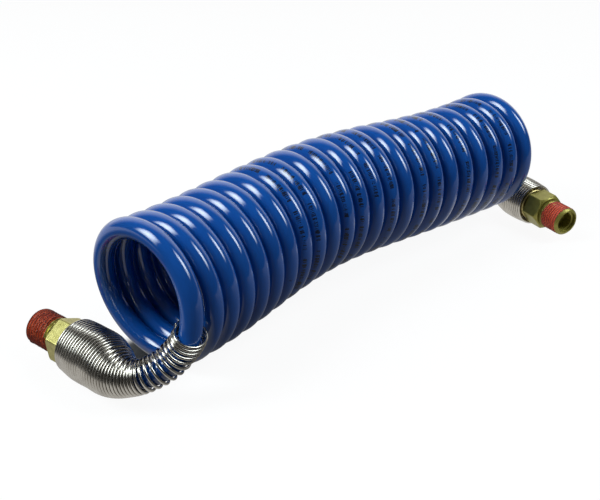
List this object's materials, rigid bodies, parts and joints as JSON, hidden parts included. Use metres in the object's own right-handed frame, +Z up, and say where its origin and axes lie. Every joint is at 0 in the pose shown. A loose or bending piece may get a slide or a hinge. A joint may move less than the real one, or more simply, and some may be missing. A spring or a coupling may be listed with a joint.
{
  "type": "coiled air hose",
  "caption": "Self-storing coiled nylon air hose with a fixed male pipe fitting at one end, a swivelling male fitting at the other, and a spring guard over each hose end.",
  "frame": {"origin": "middle of the bounding box's base, with the hose lying on its spring guards", "axes": "+X along the coil from the inlet end to the outlet end, +Z up, +Y towards the side the inlet fitting points to"},
  "size_m": [0.2636, 0.091, 0.0636],
  "materials": {
    "hose": "glossy translucent-blue nylon tube",
    "inlet_brass": "bright turned brass, pale yellow",
    "outlet_brass": "turned brass, slightly darker and olive",
    "ferrule_brass": "crimped brass sleeve",
    "sealant": "dried brick-red thread sealant, brushed on",
    "spring_steel": "bright plated spring wire",
    "o_ring_rubber": "black nitrile rubber",
    "acetal": "natural acetal"
  },
  "bodies": {
    "coil_01": {"hose_coil_01": "hose"},
    "inlet_end": {"inlet_fitting_body": "inlet_brass", "inlet_thread_sealant": "sealant", "inlet_ferrule": "ferrule_brass", "inlet_spring_guard": "spring_steel", "hose_inlet_tail": "hose"},
    "coil_02": {"hose_coil_02": "hose"},
    "coil_03": {"hose_coil_03": "hose"},
    "coil_04": {"hose_coil_04": "hose"},
    "coil_05": {"hose_coil_05": "hose"},
    "coil_06": {"hose_coil_06": "hose"},
    "coil_07": {"hose_coil_07": "hose"},
    "coil_08": {"hose_coil_08": "hose"},
    "coil_09": {"hose_coil_09": "hose"},
    "coil_10": {"hose_coil_10": "hose"},
    "coil_11": {"hose_coil_11": "hose"},
    "coil_12": {"hose_coil_12": "hose"},
    "coil_13": {"hose_coil_13": "hose"},
    "coil_14": {"hose_coil_14": "hose"},
    "coil_15": {"hose_coil_15": "hose"},
    "coil_16": {"hose_coil_16": "hose"},
    "coil_17": {"hose_coil_17": "hose"},
    "coil_18": {"hose_coil_18": "hose"},
    "coil_19": {"hose_coil_19": "hose"},
    "coil_20": {"hose_coil_20": "hose"},
    "coil_21": {"hose_coil_21": "hose"},
    "coil_22": {"hose_coil_22": "hose"},
    "outlet_end": {"hose_outlet_tail": "hose", "outlet_ferrule": "ferrule_brass", "outlet_spring_guard": "spring_steel", "swivel_stem": "outlet_brass", "swivel_o_ring": "o_ring_rubber", "swivel_thrust_washer": "acetal"},
    "outlet_swivel": {"outlet_fitting_body": "outlet_brass", "outlet_thread_sealant": "sealant", "swivel_retaining_ring": "spring_steel"}
  },
  "joints": [
    {"name": "inlet_tail_swing", "type": "hinge", "parent": "coil_01", "child": "inlet_end", "pos_m": [-0.09965, -0.01885, 0.02958], "axis": [0, 0, 1], "range_deg": [0, 60], "stiffness_Nm_per_rad": 0.8, "deforming": ["inlet_spring_guard", "hose_inlet_tail"]},
    {"name": "coil_stretch_02", "type": "slide", "parent": "coil_01", "child": "coil_02", "axis": [1, 0, 0], "range_m": [0, 0.05], "stiffness_N_per_m": 400},
    {"name": "coil_stretch_03", "type": "slide", "parent": "coil_02", "child": "coil_03", "axis": [1, 0, 0], "range_m": [0, 0.05], "stiffness_N_per_m": 400},
    {"name": "coil_stretch_04", "type": "slide", "parent": "coil_03", "child": "coil_04", "axis": [1, 0, 0], "range_m": [0, 0.05], "stiffness_N_per_m": 400},
    {"name": "coil_stretch_05", "type": "slide", "parent": "coil_04", "child": "coil_05", "axis": [1, 0, 0], "range_m": [0, 0.05], "stiffness_N_per_m": 400},
    {"name": "coil_stretch_06", "type": "slide", "parent": "coil_05", "child": "coil_06", "axis": [1, 0, 0], "range_m": [0, 0.05], "stiffness_N_per_m": 400},
    {"name": "coil_stretch_07", "type": "slide", "parent": "coil_06", "child": "coil_07", "axis": [1, 0, 0], "range_m": [0, 0.05], "stiffness_N_per_m": 400},
    {"name": "coil_stretch_08", "type": "slide", "parent": "coil_07", "child": "coil_08", "axis": [1, 0, 0], "range_m": [0, 0.05], "stiffness_N_per_m": 400},
    {"name": "coil_stretch_09", "type": "slide", "parent": "coil_08", "child": "coil_09", "axis": [1, 0, 0], "range_m": [0, 0.05], "stiffness_N_per_m": 400},
    {"name": "coil_stretch_10", "type": "slide", "parent": "coil_09", "child": "coil_10", "axis": [1, 0, 0], "range_m": [0, 0.05], "stiffness_N_per_m": 400},
    {"name": "coil_stretch_11", "type": "slide", "parent": "coil_10", "child": "coil_11", "axis": [1, 0, 0], "range_m": [0, 0.05], "stiffness_N_per_m": 400},
    {"name": "coil_stretch_12", "type": "slide", "parent": "coil_11", "child": "coil_12", "axis": [1, 0, 0], "range_m": [0, 0.05], "stiffness_N_per_m": 400},
    {"name": "coil_stretch_13", "type": "slide", "parent": "coil_12", "child": "coil_13", "axis": [1, 0, 0], "range_m": [0, 0.05], "stiffness_N_per_m": 400},
    {"name": "coil_stretch_14", "type": "slide", "parent": "coil_13", "child": "coil_14", "axis": [1, 0, 0], "range_m": [0, 0.05], "stiffness_N_per_m": 400},
    {"name": "coil_stretch_15", "type": "slide", "parent": "coil_14", "child": "coil_15", "axis": [1, 0, 0], "range_m": [0, 0.05], "stiffness_N_per_m": 400},
    {"name": "coil_stretch_16", "type": "slide", "parent": "coil_15", "child": "coil_16", "axis": [1, 0, 0], "range_m": [0, 0.05], "stiffness_N_per_m": 400},
    {"name": "coil_stretch_17", "type": "slide", "parent": "coil_16", "child": "coil_17", "axis": [1, 0, 0], "range_m": [0, 0.05], "stiffness_N_per_m": 400},
    {"name": "coil_stretch_18", "type": "slide", "parent": "coil_17", "child": "coil_18", "axis": [1, 0, 0], "range_m": [0, 0.05], "stiffness_N_per_m": 400},
    {"name": "coil_stretch_19", "type": "slide", "parent": "coil_18", "child": "coil_19", "axis": [1, 0, 0], "range_m": [0, 0.05], "stiffness_N_per_m": 400},
    {"name": "coil_stretch_20", "type": "slide", "parent": "coil_19", "child": "coil_20", "axis": [1, 0, 0], "range_m": [0, 0.05], "stiffness_N_per_m": 400},
    {"name": "coil_stretch_21", "type": "slide", "parent": "coil_20", "child": "coil_21", "axis": [1, 0, 0], "range_m": [0, 0.05], "stiffness_N_per_m": 400},
    {"name": "coil_stretch_22", "type": "slide", "parent": "coil_21", "child": "coil_22", "axis": [1, 0, 0], "range_m": [0, 0.05], "stiffness_N_per_m": 400},
    {"name": "outlet_tail_swing", "type": "hinge", "parent": "coil_22", "child": "outlet_end", "pos_m": [0.10856, 0.03308, 0.03905], "axis": [0, 0, 1], "range_deg": [0, 60], "stiffness_Nm_per_rad": 0.8, "deforming": ["outlet_spring_guard", "hose_outlet_tail"]},
    {"name": "outlet_swivel_spin", "type": "hinge", "parent": "outlet_end", "child": "outlet_swivel", "pos_m": [0.11291, -0.02265, 0.01107], "axis": [-0.319, -0.9478, 0], "continuous": true}
  ],
  "couplings": [
    {"joint": "coil_stretch_03", "follows": "coil_stretch_02", "ratio": 1},
    {"joint": "coil_stretch_04", "follows": "coil_stretch_02", "ratio": 1},
    {"joint": "coil_stretch_05", "follows": "coil_stretch_02", "ratio": 1},
    {"joint": "coil_stretch_06", "follows": "coil_stretch_02", "ratio": 1},
    {"joint": "coil_stretch_07", "follows": "coil_stretch_02", "ratio": 1},
    {"joint": "coil_stretch_08", "follows": "coil_stretch_02", "ratio": 1},
    {"joint": "coil_stretch_09", "follows": "coil_stretch_02", "ratio": 1},
    {"joint": "coil_stretch_10", "follows": "coil_stretch_02", "ratio": 1},
    {"joint": "coil_stretch_11", "follows": "coil_stretch_02", "ratio": 1},
    {"joint": "coil_stretch_12", "follows": "coil_stretch_02", "ratio": 1},
    {"joint": "coil_stretch_13", "follows": "coil_stretch_02", "ratio": 1},
    {"joint": "coil_stretch_14", "follows": "coil_stretch_02", "ratio": 1},
    {"joint": "coil_stretch_15", "follows": "coil_stretch_02", "ratio": 1},
    {"joint": "coil_stretch_16", "follows": "coil_stretch_02", "ratio": 1},
    {"joint": "coil_stretch_17", "follows": "coil_stretch_02", "ratio": 1},
    {"joint": "coil_stretch_18", "follows": "coil_stretch_02", "ratio": 1},
    {"joint": "coil_stretch_19", "follows": "coil_stretch_02", "ratio": 1},
    {"joint": "coil_stretch_20", "follows": "coil_stretch_02", "ratio": 1},
    {"joint": "coil_stretch_21", "follows": "coil_stretch_02", "ratio": 1},
    {"joint": "coil_stretch_22", "follows": "coil_stretch_02", "ratio": 1}
  ]
}
